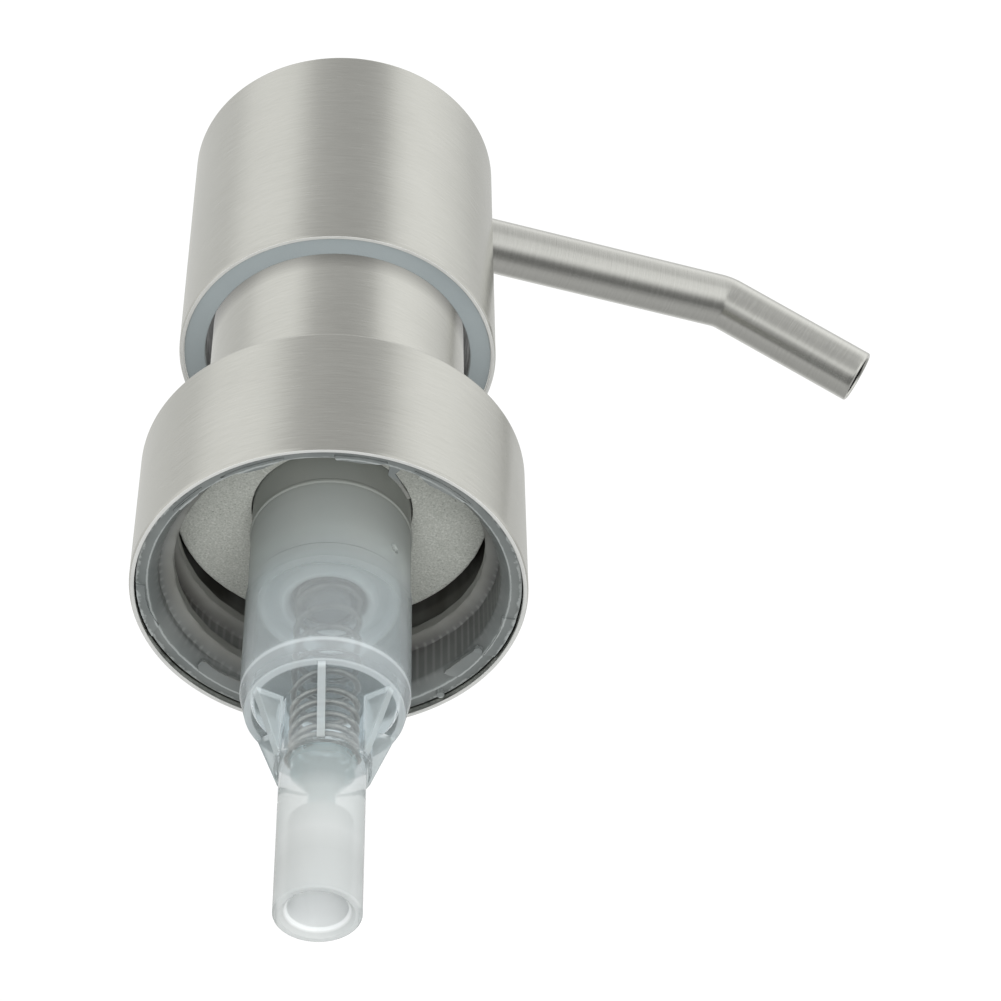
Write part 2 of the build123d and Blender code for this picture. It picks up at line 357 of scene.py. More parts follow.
def plastic(name, low, high, rough=(0.32, 0.48), grain=900, bump=0.12, transmission=0.0, ior=1.49,
            alpha=1.0, subsurface=0.0, weight=(0.3, 0.7), coords="Object"):
    """Moulded plastic: faint flow marks and a fine skin."""
    m = Nodes(name)
    c = m.new("ShaderNodeTexCoord").outputs[coords]
    flow = m.noise(c, 140, 2.0, 0.5, (1, 1, 0.35))
    skin = m.noise(c, grain, 3.0, 0.6)
    m.link(m.ramp(m.remap(flow, 0, 1, *weight), [(0.0, low), (1.0, high)]), m.bsdf.inputs["Base Color"])
    m.link(m.remap(skin, rough[0], rough[1], 0.3, 0.7), m.bsdf.inputs["Roughness"])
    m.bump(skin, bump, 0.00006)
    m.set(IOR=ior, Alpha=alpha)
    m.set(Transmission_Weight=transmission)
    if subsurface:
        m.set(Subsurface_Weight=subsurface, Subsurface_Scale=0.002)
    return m.mat


def assign(ob, mat):
    ob.data.materials.clear()
    ob.data.materials.append(mat)


# ------------------------------------------------------------------ materials
mat_steel = steel("brushed_steel")
mat_spout = steel("brushed_steel_tube", low=(0.60, 0.60, 0.57), high=(0.70, 0.70, 0.67), rough=(0.17, 0.24), fine=0.8, bump=0.3)
mat_edge_highlight = steel("steel_cut_edge_highlight", low=(0.64, 0.64, 0.62), high=(0.80, 0.80, 0.78), rough=(0.50, 0.60), fine=0.6, bump=0.2)
# painted shade: the spout's bore is near-black, for the dark inside of the tube
mat_bore_shade = steel("tube_bore_shade", low=(0.03, 0.03, 0.03), high=(0.07, 0.07, 0.068), rough=(0.4, 0.5), fine=0.5, bump=0.1)


def wire_material():
    """Drawn stainless wire, bright in the spring chamber, with painted shade that makes it darker up in the barrel."""
    m = Nodes("spring_wire")
    c = m.new("ShaderNodeTexCoord").outputs["Object"]
    sep = m.new("ShaderNodeSeparateXYZ")
    m.link(c, sep.inputs[0])
    drawn = m.noise(c, 700, 2.0, 0.5, (1, 1, 0.4))
    shade = m.new("ShaderNodeMix", data_type="RGBA", blend_type="MULTIPLY")
    shade.inputs["Factor"].default_value = 1.0
    m.link(m.ramp(m.remap(drawn, 0, 1, 0.3, 0.7), [(0.0, (0.44, 0.40, 0.36)), (1.0, (0.60, 0.555, 0.51))]), shade.inputs["A"])
    # painted shade: above the spring chamber the wire is darker and greener, for the shadow up in the barrel seen
    # through the plastic
    m.link(m.ramp(m.remap(sep.outputs[2], 0.0, 1.0, -0.0135, -0.0085), [(0.0, (1.0, 1.0, 1.0)), (1.0, (0.46, 0.50, 0.51))]), shade.inputs["B"])
    m.link(shade.outputs["Result"], m.bsdf.inputs["Base Color"])
    m.link(m.remap(drawn, 0.14, 0.20, 0.3, 0.7), m.bsdf.inputs["Roughness"])
    m.bump(drawn, 0.02, 0.00006)
    m.set(Metallic=1.0)
    return m.mat


mat_wire = wire_material()
mat_ball = plastic("ball_steel", (0.35, 0.37, 0.38), (0.45, 0.47, 0.48), rough=(0.12, 0.2), bump=0.03)
mat_ball.node_tree.nodes["Principled BSDF"].inputs["Metallic"].default_value = 1.0


def cylinder_material():
    """Natural polypropylene: clear enough to show the spring through the wall, with a milky haze that is strongest in
    the thick socket, lighter edges, and painted shade high on the barrel inside the closure."""
    m = Nodes("natural_plastic")
    c = m.new("ShaderNodeTexCoord").outputs["Object"]
    sep = m.new("ShaderNodeSeparateXYZ")
    m.link(c, sep.inputs[0])
    x, y, zz = sep.outputs
    r = m.math("SQRT", m.math("ADD", m.math("MULTIPLY", x, x), m.math("MULTIPLY", y, y)))
    z = m.remap(zz, 0.0, 1.0, -0.034, 0.018)
    flow = m.noise(c, 150, 2.0, 0.5, (1, 1, 0.35))
    skin = m.noise(c, 900, 3.0, 0.6)
    # tone by height: the socket's milky tone, the clear barrel, and painted shade that darkens the barrel from about
    # the closure's rim up, most above 6.6 mm inside the closure
    tone = m.ramp(z, [(0.0, (0.76, 0.78, 0.775)), (0.10, (0.72, 0.735, 0.725)), (0.20, (0.68, 0.70, 0.69)), (0.285, (0.72, 0.75, 0.745)),
                      (0.31, (0.82, 0.865, 0.88)), (0.42, (0.87, 0.915, 0.93)), (0.60, (0.89, 0.93, 0.93)), (0.66, (0.80, 0.845, 0.825)), (0.70, (0.72, 0.76, 0.73)), (0.772, (0.64, 0.675, 0.64)), (0.782, (0.49, 0.51, 0.47)), (1.0, (0.43, 0.45, 0.415))])
    depth = m.new("ShaderNodeMix", data_type="RGBA", blend_type="MULTIPLY")
    depth.inputs["Factor"].default_value = 1.0
    m.link(tone, depth.inputs["A"])
    m.link(m.ramp(m.remap(flow, 0, 1, 0.3, 0.7), [(0.0, (0.965, 0.98, 0.99)), (1.0, (1.0, 1.0, 1.0))]), depth.inputs["B"])
    # the stepped seat inside the socket is greener
    seat = m.math("MULTIPLY", m.remap(r, 1.0, 0.0, 0.00238, 0.00252), m.math("MULTIPLY", m.remap(zz, 0.0, 1.0, -0.0243, -0.0240), m.remap(zz, 1.0, 0.0, -0.0180, -0.0176)))
    green = m.new("ShaderNodeMix", data_type="RGBA")
    m.link(seat, green.inputs["Factor"])
    m.link(depth.outputs["Result"], green.inputs["A"])
    green.inputs["B"].default_value = (0.50, 0.66, 0.68, 1)
    # the gussets are milky right through
    gusset = m.math("MULTIPLY", m.remap(r, 0.0, 1.0, 0.00395, 0.0041), m.remap(zz, 1.0, 0.0, -0.01340, -0.01322))
    # lighter edges: the barrel's lower corner, the foot of its taper and the gussets' outer edges
    low_z = m.math("MULTIPLY", m.remap(zz, 0.0, 1.0, -0.01385, -0.01345), 1.0)
    corner = m.math("MULTIPLY", m.remap(m.math("ABSOLUTE", m.math("ADD", zz, 0.01130)), 1.0, 0.0, 0.00008, 0.00026), m.remap(r, 0.0, 1.0, 0.0063, 0.0066))
    foot = m.math("MULTIPLY", m.remap(zz, 1.0, 0.0, -0.01320, -0.01300), m.math("MULTIPLY", m.remap(r, 0.0, 1.0, 0.00575, 0.0059), low_z))
    slope = m.math("ADD", m.math("MULTIPLY", m.math("ADD", zz, 0.01905), 0.381), 0.00390)
    blade = m.math("MULTIPLY", m.remap(m.math("SUBTRACT", r, slope), 0.0, 1.0, -0.00010, 0.00002), m.remap(zz, 1.0, 0.0, -0.01335, -0.0132))
    blade = m.math("MULTIPLY", blade, m.remap(zz, 0.0, 1.0, -0.01912, -0.01905))
    white = m.math("MINIMUM", m.math("MAXIMUM", m.math("MULTIPLY", corner, 0.75), m.math("MAXIMUM", foot, m.math("MULTIPLY", blade, 0.25))), 1.0)
    dull = m.new("ShaderNodeMix", data_type="RGBA", blend_type="MULTIPLY")
    m.link(gusset, dull.inputs["Factor"])
    m.link(green.outputs["Result"], dull.inputs["A"])
    dull.inputs["B"].default_value = (0.80, 0.81, 0.80, 1)
    # the dip tube's bore is pale
    bore = m.math("MULTIPLY", m.remap(r, 1.0, 0.0, 0.00245, 0.0026), m.remap(zz, 1.0, 0.0, -0.0242, -0.0240))
    pale = m.new("ShaderNodeMix", data_type="RGBA")
    m.link(bore, pale.inputs["Factor"])
    m.link(dull.outputs["Result"], pale.inputs["A"])
    pale.inputs["B"].default_value = (0.80, 0.82, 0.82, 1)
    edge = m.new("ShaderNodeMix", data_type="RGBA")
    m.link(m.math("MULTIPLY", white, 0.45), edge.inputs["Factor"])
    m.link(pale.outputs["Result"], edge.inputs["A"])
    edge.inputs["B"].default_value = (0.74, 0.80, 0.82, 1)
    m.link(edge.outputs["Result"], m.bsdf.inputs["Base Color"])
    clear = m.ramp(z, [(0.0, (0.50,) * 3), (0.09, (0.46,) * 3), (0.13, (0.37,) * 3), (0.165, (0.42,) * 3), (0.205, (0.48,) * 3), (0.235, (0.66,) * 3), (0.285, (0.74,) * 3), (0.31, (0.84,) * 3),
                       (0.34, (0.90,) * 3), (0.395, (0.90,) * 3), (0.408, (0.82,) * 3), (0.43, (0.80,) * 3), (0.48, (0.82,) * 3), (0.60, (0.78,) * 3), (0.68, (0.50,) * 3), (0.74, (0.38,) * 3), (1.0, (0.32,) * 3)])
    clear = m.math("MULTIPLY", clear, m.math("SUBTRACT", 1.0, m.math("MULTIPLY", white, 0.4)))
    clear = m.math("MULTIPLY", clear, m.math("SUBTRACT", 1.0, m.math("MULTIPLY", seat, 0.5)))
    clear = m.math("MULTIPLY", clear, m.math("SUBTRACT", 1.0, m.math("MULTIPLY", bore, 0.85)))
    taper = m.math("MULTIPLY", m.remap(r, 0.0, 1.0, 0.00628, 0.00645), m.math("MULTIPLY", m.remap(zz, 1.0, 0.0, -0.0113, -0.0105), m.remap(zz, 0.0, 1.0, -0.0135, -0.0133)))
    clear = m.math("MULTIPLY", clear, m.math("SUBTRACT", 1.0, m.math("MULTIPLY", taper, 0.09)))
    m.link(m.math("MULTIPLY", clear, m.math("SUBTRACT", 1.0, m.math("MULTIPLY", gusset, 0.32))), m.bsdf.inputs["Transmission Weight"])
    blur = m.ramp(z, [(0.0, (0.12,) * 3), (0.18, (0.12,) * 3), (0.22, (0.12,) * 3), (0.30, (0.10,) * 3), (0.34, (0.05,) * 3), (0.40, (0.07,) * 3), (0.44, (0.17,) * 3), (0.52, (0.23,) * 3), (0.62, (0.21,) * 3), (1.0, (0.18,) * 3)])
    m.link(m.math("MULTIPLY", blur, m.remap(skin, 0.9, 1.1, 0.3, 0.7)), m.bsdf.inputs["Roughness"])
    m.bump(flow, 0.05, 0.0001)
    m.set(IOR=1.06)
    return m.mat


mat_cylinder = cylinder_material()
mat_head = plastic("head_plastic", (0.355, 0.40, 0.415), (0.39, 0.436, 0.45), rough=(0.42, 0.6), bump=0.12)
# painted shade: the rod is drawn dark grey for the shadow inside the spring up in the barrel
mat_rod_shade = plastic("rod_plastic", (0.16, 0.17, 0.17), (0.20, 0.21, 0.21), rough=(0.3, 0.45), bump=0.1)
mat_white = plastic("piston_plastic", (0.82, 0.86, 0.87), (0.88, 0.92, 0.93), rough=(0.3, 0.45), bump=0.1)


def insert_material():
    """Translucent insert over steel, with painted shade: dark where the wall is thin over the steel and darker still
    where it is shaded, light on the thread and the rim, with the knurl of its outside painted in as upright lines."""
    m = Nodes("insert_plastic")
    c = m.new("ShaderNodeTexCoord").outputs["Object"]
    sep = m.new("ShaderNodeSeparateXYZ")
    m.link(c, sep.inputs[0])
    x, y, z = sep.outputs
    az = m.math("ARCTAN2", y, x)
    r = m.math("SQRT", m.math("ADD", m.math("MULTIPLY", x, x), m.math("MULTIPLY", y, y)))
    stripe = m.math("SINE", m.math("MULTIPLY", az, float(RIBS)))
    ribs = m.remap(stripe, 0.0, 1.0, 0.1, 0.95)
    zone = m.math("MULTIPLY", m.remap(z, 0.0, 1.0, 0.0012, 0.0022), m.remap(z, 1.0, 0.0, 0.0060, 0.0068))
    flow = m.noise(c, 190, 3.0, 0.55, (1, 1, 0.5))
    skin = m.noise(c, 1300, 3.0, 0.6)
    # painted shade: light on the rim, darker up the wall, darkest between the thread and the seal, where the thread's
    # root lies in shadow
    wall = m.ramp(m.remap(z, 0.0, 1.0, 0.0, 0.0125), [
        (0.0, (0.165, 0.18, 0.178)), (0.06, (0.155, 0.168, 0.165)), (0.15, (0.125, 0.132, 0.128)), (0.32, (0.11, 0.114, 0.11)), (0.45, (0.095, 0.094, 0.09)),
        (0.58, (0.062, 0.059, 0.052)), (0.66, (0.036, 0.035, 0.030)), (0.70, (0.062, 0.060, 0.053)), (0.76, (0.068, 0.066, 0.058)), (0.80, (0.040, 0.039, 0.033)), (1.0, (0.030, 0.029, 0.024))])
    inner = m.remap(r, 1.0, 0.0, 0.01325, 0.01405)          # 1 on the thread's crest
    mix = m.new("ShaderNodeMix", data_type="RGBA")
    m.link(inner, mix.inputs["Factor"])
    m.link(wall, mix.inputs["A"])
    mix.inputs["B"].default_value = (0.17, 0.17, 0.155, 1)
    light = m.new("ShaderNodeMix", data_type="RGBA")
    off_bead = m.remap(r, 0.0, 1.0, 0.01385, 0.0141)
    amount = m.math("MULTIPLY", m.math("MULTIPLY", m.math("MULTIPLY", ribs, zone), off_bead), 0.16)
    m.link(amount, light.inputs["Factor"])
    m.link(mix.outputs["Result"], light.inputs["A"])
    light.inputs["B"].default_value = (0.5, 0.5, 0.48, 1)
    cloud = m.new("ShaderNodeMix", data_type="RGBA")
    m.link(m.math("MULTIPLY", m.remap(flow, 0.0, 1.0, 0.42, 0.68), 0.26), cloud.inputs["Factor"])
    m.link(light.outputs["Result"], cloud.inputs["A"])
    cloud.inputs["B"].default_value = (0.30, 0.31, 0.30, 1)
    # whitened edges of the rim, and of the tabs that stand below it
    ragged = m.math("MULTIPLY", m.math("SUBTRACT", m.noise(c, 1100, 3.0, 0.7), 0.5), 0.0012)
    edge_out = m.math("MULTIPLY", m.remap(m.math("ADD", r, ragged), 0.0, 1.0, 0.01572, 0.01590), 0.8)
    inner_r = m.math("ADD", r, m.math("MULTIPLY", ragged, 0.2))
    edge_in = m.math("MULTIPLY", m.math("MULTIPLY", m.remap(inner_r, 1.0, 0.0, 0.01506, 0.01514), m.remap(inner_r, 0.0, 1.0, 0.01492, 0.01499)), 0.7)
    low = m.remap(z, 1.0, 0.0, 0.00066, 0.00078)
    white = m.math("MULTIPLY", m.math("MAXIMUM", edge_out, edge_in), low)
    burr = m.new("ShaderNodeMix", data_type="RGBA")
    m.link(m.math("MULTIPLY", white, 0.75), burr.inputs["Factor"])
    m.link(cloud.outputs["Result"], burr.inputs["A"])
    burr.inputs["B"].default_value = (0.50, 0.53, 0.52, 1)
    m.link(burr.outputs["Result"], m.bsdf.inputs["Base Color"])
    m.link(m.remap(skin, 0.30, 0.45, 0.3, 0.7), m.bsdf.inputs["Roughness"])
    m.bump(skin, 0.14, 0.00006)
    m.set(IOR=1.4)
    return m.mat


def foam_material():
    m = Nodes("foam")
    c = m.new("ShaderNodeTexCoord").outputs["Object"]
    cells = m.new("ShaderNodeTexVoronoi")
    cells.inputs["Scale"].default_value = 6500
    m.link(c, cells.inputs["Vector"])
    grit = m.noise(c, 5200, 3.0, 0.65)
    cloud = m.noise(c, 260, 2.0, 0.5)
    tone = m.math("ADD", m.math("MULTIPLY", grit, 0.62),
                  m.math("ADD", m.math("MULTIPLY", cells.outputs["Distance"], 0.28), m.math("MULTIPLY", cloud, 0.14)))
    m.link(m.ramp(m.remap(tone, 0, 1, 0.34, 0.68), [(0.0, (0.20, 0.205, 0.19)), (0.10, (0.372, 0.385, 0.350)), (0.9, (0.54, 0.555, 0.515)), (1.0, (0.60, 0.61, 0.57))]),
           m.bsdf.inputs["Base Color"])
    m.link(m.remap(grit, 0.8, 0.98, 0.3, 0.7), m.bsdf.inputs["Roughness"])
    m.bump(tone, 0.32, 0.00010)
    return m.mat


mat_foam = foam_material()



# the cut edge is part diffuse, so it stays bright from most sides: a painted highlight on the edge's own lighter cut
# finish
mat_edge_highlight.node_tree.nodes["Principled BSDF"].inputs["Metallic"].default_value = 0.35


def edged(ob, below):
    """Gives the cut lower edge of a steel cup its own finish: lighter cut steel, with a painted highlight from its
    part-diffuse, brighter colour.
    """
    ob.data.materials.append(mat_edge_highlight)
    rim = max(math.hypot(v.co.x, v.co.y) for v in ob.data.vertices) - 0.11 * MM
    for p in ob.data.polygons:
        if p.normal.z < -0.35 and p.center.z < (below + 0.06) * MM and math.hypot(p.center.x, p.center.y) < rim:
            p.material_index = 1


# ------------------------------------------------------------------ closure
lo, hi = box_mm("cap_shell")
R, H = hi[0], hi[2]
WALL = 0.43
HOLE = 11.0
cap = lathe("steel_ring", [
    (HOLE, H - WALL, 0.1), (R - WALL, H - WALL, 0.25), (R - WALL, 0, 0.1), (R - 0.12, 0, 0.04), (R, 0.26, 0.06),
    (R, H, 0.42), (HOLE, H, 0.1)], seg=288)
assign(cap, mat_steel)
edged(cap, 0.02)
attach(cap, "closure"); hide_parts("cap_shell")

# Threaded insert. The bore is a height field with the bead on it, and the
# outside is knurled where it grips the ring.
lo, hi = box_mm("threaded_insert")
IR, I0, I1 = hi[0], lo[2], hi[2]
BORE, CREST, PITCH = 14.2, 13.0, 4.23
MOUTH_R, MOUTH_Z = 15.0, 1.8
T0_AZ, T0_Z, TURNS = -265.0, 2.84, 1.3
ROOF_Z, ROOF_HOLE = 12.45, 11.06
SEG = RIBS * 8
mat_insert = insert_material()


def bead(az_deg, z):
    """How far the thread stands in from the bore at this place, 0 to 1."""
    best = 0.0
    for turn in range(-2, 3):
        a = az_deg + 360 * turn - T0_AZ
        if -14 < a < TURNS * 360 + 14:
            ends = min(1.0, max(0.0, (a + 14) / 22), max(0.0, (TURNS * 360 + 14 - a) / 22))
            ends = ends * ends * (3 - 2 * ends)
            mid = T0_Z + a / 360 * PITCH
            d = abs(z - mid)
            h = 1.0 - (d - 0.46) / (1.06 - 0.46)
            h = max(0.0, min(1.0, h))
            h = h * h * (3 - 2 * h) * 0.45 + h * 0.55
            best = max(best, h * ends)
    return best


def make_insert():
    bm = bmesh.new()
    grain = bm.verts.layers.float_vector.new("brush")
    rows = []

    def ring(fn):
        out = []
        for j in range(SEG):
            az = 360.0 * j / SEG
            r, z = fn(az, j)
            t = math.radians(az)
            v = bm.verts.new((r * math.cos(t) * MM, r * math.sin(t) * MM, z * MM))
            v[grain] = (math.cos(t) * r * MM, math.sin(t) * r * MM, z * MM)
            out.append(v)
        return out

    def knurl(az, j, depth=0.22):
        phase = (j % 8) / 8.0
        return IR - 0.05 - depth * (1 - abs(2 * phase - 1) ** 1.3)

    # outside, from the rim up
    rows.append(ring(lambda az, j: (IR - 0.20, I0)))
    rows.append(ring(lambda az, j: (IR - 0.08, I0 + 0.08)))
    rows.append(ring(lambda az, j: (IR - 0.08, I0 + 0.55)))
    rows.append(ring(lambda az, j: (knurl(az, j, 0.10), I0 + 0.75)))
    for z in (1.6, 2.6, 4.2, 6.3):
        rows.append(ring(lambda az, j, z=z: (knurl(az, j), z)))
    rows.append(ring(lambda az, j: (knurl(az, j, 0.10), 6.6)))
    rows.append(ring(lambda az, j: (IR - 0.06, 6.8)))
    rows.append(ring(lambda az, j: (IR - 0.06, I1)))
    rows.append(ring(lambda az, j: (ROOF_HOLE, I1)))
    rows.append(ring(lambda az, j: (ROOF_HOLE, ROOF_Z)))
    rows.append(ring(lambda az, j: (BORE - 0.3, ROOF_Z)))
    rows.append(ring(lambda az, j: (BORE, ROOF_Z - 0.3)))
    z = ROOF_Z - 0.6
    while z > MOUTH_Z + 0.1:
        rows.append(ring(lambda az, j, z=z: (BORE - (BORE - CREST) * bead(az, z), z)))
        z -= 0.14
    for k in range(6):
        w = k / 5
        rows.append(ring(lambda az, j, w=w: (BORE + (MOUTH_R - 0.05 - BORE) * w - (BORE - CREST) * bead(az, MOUTH_Z + (I0 + 0.08 - MOUTH_Z) * w) * (1 - w),
                                             MOUTH_Z + (I0 + 0.08 - MOUTH_Z) * w)))
    rows.append(ring(lambda az, j: (MOUTH_R + 0.03, I0)))
    n = len(rows)
    for i in range(n):
        a, b = rows[i], rows[(i + 1) % n]
        for j in range(SEG):
            k = (j + 1) % SEG
            bm.faces.new((a[j], a[k], b[k], b[j]))
    return finish_mesh("insert_body", bm, 40, weighted=False)


def plate(name, outline, z0, z1, whiten=99.0):
    """Small flap or burr left at the insert's rim: a polygon of (radius, azimuth) points
    in a level plane. Its border is stress-whitened where the radius is under `whiten`."""
    pts = []
    n = len(outline)
    rnd = random.Random(len(name) * 31 + int(abs(outline[0][1]) * 10))
    for i in range(n):
        (ra, aa), (rb, ab) = outline[i], outline[(i + 1) % n]
        steps = max(1, int(math.hypot(rb - ra, (ab - aa) * 0.26) / 0.30))
        for k in range(steps):
            w = k / steps
            e = 0.05 * (rnd.random() - 0.5) if 0 < w else 0.0
            pts.append((ra + (rb - ra) * w + e, math.radians(aa + (ab - aa) * w)))
    bm = bmesh.new()
    bm.verts.layers.float_vector.new("brush")
    low = [bm.verts.new((r * math.cos(t) * MM, r * math.sin(t) * MM, z0 * MM)) for r, t in pts]
    top = [bm.verts.new((r * math.cos(t) * MM, r * math.sin(t) * MM, z1 * MM)) for r, t in pts]
    face = bm.faces.new(low)
    bm.faces.new(list(reversed(top)))
    n = len(pts)
    for i in range(n):
        f = bm.faces.new((low[i], top[i], top[(i + 1) % n], low[(i + 1) % n]))
        f.material_index = 1
    bmesh.ops.recalc_face_normals(bm, faces=bm.faces)
    got = bmesh.ops.inset_region(bm, faces=[face], thickness=0.10 * MM, depth=-0.02 * MM, use_even_offset=True)
    for f in got["faces"]:
        c = f.calc_center_median()
        if math.hypot(c.x, c.y) < whiten * MM:
            f.material_index = 1
    bmesh.ops.triangulate(bm, faces=[f for f in bm.faces if len(f.verts) > 4])
    return finish_mesh(name, bm, 30, weighted=False)


def arc(r, a0, a1, n=6):
    """Points along an arc of the rim."""
    return [(r, a0 + (a1 - a0) * i / n) for i in range(n + 1)]


RIM = 15.93
FLAPS = [
    ("left", [(15.22, 165.7), (15.25, 160), (15.16, 153.4), (15.0, 149.4), (14.92, 147.4)] + arc(RIM, 143.4, 166.5), 0.42, 0.75, 15.6),
    ("low_left", [(14.90, 122.6), (14.55, 124.6), (13.95, 125.3), (13.76, 124.0), (13.86, 117.4), (13.66, 110.7),
                  (13.55, 104.0), (14.95, 104.0)] + arc(15.1, 105, 122, 4), 0.55, 0.80, 99),
    ("low_right", [(13.72, 27.7), (13.80, 20.2), (14.02, 14.4), (14.02, 12.2), (14.62, 12.0), (14.85, 14.2)] + arc(15.1, 15, 27, 4)
     + [(14.5, 28.9), (13.85, 29.6)], 0.50, 0.80, 99),
    ("knob", [(13.98, 14.6), (13.94, 12.6), (14.2, 11.6), (14.62, 12.2), (14.72, 13.6), (14.35, 14.0)], 0.36, 0.60, 99),
    ("right", [(14.72, -4.4), (14.98, 0.2), (15.0, 6), (15.02, 14)] + arc(RIM, 13, -4.4), 0.46, 0.75, 15.3),
    ("nub", [(15.45 + 0.36 * math.cos(math.radians(45 * i)), 36.4 + 0.36 * math.sin(math.radians(45 * i)) / 0.27) for i in range(8)], 0.12, 0.62, 99),
    ("near_left", [(15.3, -138), (14.80, -131.7), (14.72, -126.4), (15.02, -121), (15.3, -119)] + arc(15.34, -119, -140), 0.50, 0.80, 0),
    ("near_mid", [(15.3, -103.9), (14.88, -103.5), (14.80, -95.5), (15.02, -90), (15.3, -88)] + arc(15.36, -88, -104), 0.44, 0.80, 0),
    ("near_right", [(15.25, -79), (14.95, -76), (14.62, -72.5), (14.72, -66.3), (14.92, -60.6), (15.25, -57)] + arc(15.34, -57, -79), 0.50, 0.80, 0),
    ("sliver", [(14.02, -86.0), (13.4, -81.5), (12.35, -75.0), (12.50, -74.2), (13.55, -80.3), (14.3, -84.0), (15.2, -83), (15.2, -87)], 0.60, 0.78, 99),
    ("side_left", [(15.35, -160), (14.95, -158), (15.0, -150), (15.35, -147)] + arc(15.42, -147, -160), 0.50, 0.80, 0),
]
insert = make_insert()
tabs = [plate("flap_" + n, o, z0, z1, w) for n, o, z0, z1, w in FLAPS]


def merged(name, parts):
    """Several meshes in one object, their solids left as they are."""
    bm = bmesh.new()
    bm.verts.layers.float_vector.new("brush")
    for p in parts:
        bm.from_mesh(p.data)
        bpy.data.objects.remove(p)
    me = bpy.data.meshes.new(name)
    bm.to_mesh(me)
    bm.free()
    ob = bpy.data.objects.new(name, me)
    scene.collection.objects.link(ob)
    for p in me.polygons:
        p.use_smooth = True
    me.set_sharp_from_angle(angle=math.radians(38))
    return ob


insert = merged("thread_insert", [insert] + tabs)
assign(insert, mat_insert)
insert.data.materials.append(plastic("whitened_edge", (0.33, 0.355, 0.355), (0.48, 0.51, 0.505), rough=(0.35, 0.5), bump=0.1))
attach(insert, "closure"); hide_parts("threaded_insert")

# ------------------------------------------------------------------ gasket
lo, hi = box_mm("gasket")
G0, G1, GR = lo[2], hi[2], hi[0]
GH = 6.86


def foam_edge(r, z, t):
    n = noise.noise(Vector((math.cos(t) * r * 1.7, math.sin(t) * r * 1.7, z * 2.0)))
    m = noise.noise(Vector((math.cos(t) * r * 5.0, math.sin(t) * r * 5.0, z * 5.0 + 9)))
    if r > GR - 0.4:
        r = r - 0.05 + 0.045 * n
    if z < G0 + 0.3 and r > GH + 0.2:
        z = z + 0.02 + 0.018 * m
    return r, z


foam = lathe("foam_liner", [(GH, G0, 0.05), (GR, G0, 0.22), (GR, G1, 0.08), (GH, G1, 0.05)],
             seg=256, longest=0.35, wobble=foam_edge, smooth_deg=50)
assign(foam, mat_foam)
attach(foam, "pump"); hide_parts("gasket")

# ------------------------------------------------------------------ cylinder
lo, hi = box_mm("pump_cylinder")
Z0 = lo[2]
FLANGE_R = hi[0]
BR, BT, BB = 6.85, 6.75, 5.95
profile = [
    (2.85, Z0, 0.05), (3.37, Z0, 0.18), (3.41, -19.1, 0.06), (3.85, -19.1, 0.12), (3.85, -13.2, 0.1),
    (6.4, -13.2, 0.14), (BR, -11.3, 0.3),
    (BR, -0.72, 0.1), (BT, -0.58, 0.1), (BT, 6.46, 0.05), (BR, 6.6, 0.05), (BR, 6.82, 0.05),
    (BT, 6.96, 0.05), (BT, 11.2, 0.1), (FLANGE_R, 11.2, 0.1), (FLANGE_R, 12.3, 0.1), (7.0, 12.3, 0.2),
    (7.0, 15.9), (7.3, 16.2, 0.1), (7.3, 16.6, 0.1), (7.0, 17.5, 0.1),
    (BB, 17.5, 0.1), (BB, -11.8, 0.3), (5.6, -12.4, 0.2), (3.15, -12.4, 0.2), (3.15, -18.2, 0.12),
    (2.3, -18.2, 0.1), (2.3, -19.6, 0.15), (1.0, -21.6, 0.15), (1.0, -24.1, 0.1), (2.3, -24.1, 0.15),
    (2.3, -32.5, 0.1)]
body = lathe("cylinder_body", profile, seg=160)
body.modifiers.clear()
GUSSETS = [-167.6 + 60 * i for i in range(6)]
solids = [body]
for i, az in enumerate(GUSSETS):
    solids.append(prism(f"gusset_{i}", [(3.6, -13.0), (6.25, -13.0), (6.25, -13.2), (4.02, -19.05), (3.6, -19.05)], az, 0.62))
for i in range(4):
    solids.append(prism(f"finger_{i}", [(1.80, -18.5), (2.4, -18.5), (2.4, -18.18), (2.2, -18.18), (2.2, -16.95),
                                        (1.25, -16.95), (1.25, -17.22), (1.80, -17.45)], 45 + 90 * i, 0.8))


def plug(name, centre, direction, r, length, seg=32):
    bm = bmesh.new()
    bmesh.ops.create_cone(bm, cap_ends=True, segments=seg, radius1=r * MM, radius2=r * MM, depth=length * MM)
    q = Vector(direction).to_track_quat("Z", "Y").to_matrix().to_4x4()
    bmesh.ops.transform(bm, matrix=Matrix.Translation(Vector(centre) * MM) @ q, verts=bm.verts)
    return finish_mesh(name, bm, 30, weighted=False)


for extra in solids[1:]:
    m = body.modifiers.new("join", "BOOLEAN")
    m.operation, m.solver, m.object = "UNION", "EXACT", extra
va = math.radians(-53.0)
vent = plug("vent", (6.4 * math.cos(va), 6.4 * math.sin(va), 1.5), (math.cos(va), math.sin(va), 0), 0.45, 2.4)
m = body.modifiers.new("vent", "BOOLEAN")
m.operation, m.solver, m.object = "DIFFERENCE", "EXACT", vent
cylinder = applied("barrel", body, solids + [vent])
for p in cylinder.data.polygons:
    p.use_smooth = True
cylinder.data.set_sharp_from_angle(angle=math.radians(34))
w = cylinder.modifiers.new("normals", "WEIGHTED_NORMAL")
w.mode, w.weight, w.keep_sharp = "FACE_AREA", 60, True
assign(cylinder, mat_cylinder)
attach(cylinder, "pump"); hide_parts("pump_cylinder")

# ------------------------------------------------------------------ neck sleeve
lo, hi = box_mm("neck_sleeve")
SR, S0, S1 = hi[0], lo[2], hi[2]
sleeve = lathe("neck_sleeve_steel", [
    (10.87, S0, 0.1), (SR, S0, 0.12), (SR, S1, 0.35), (9.9, S1, 0.1), (9.9, S1 - 0.48, 0.1), (10.87, S1 - 0.48, 0.1)], seg=256)


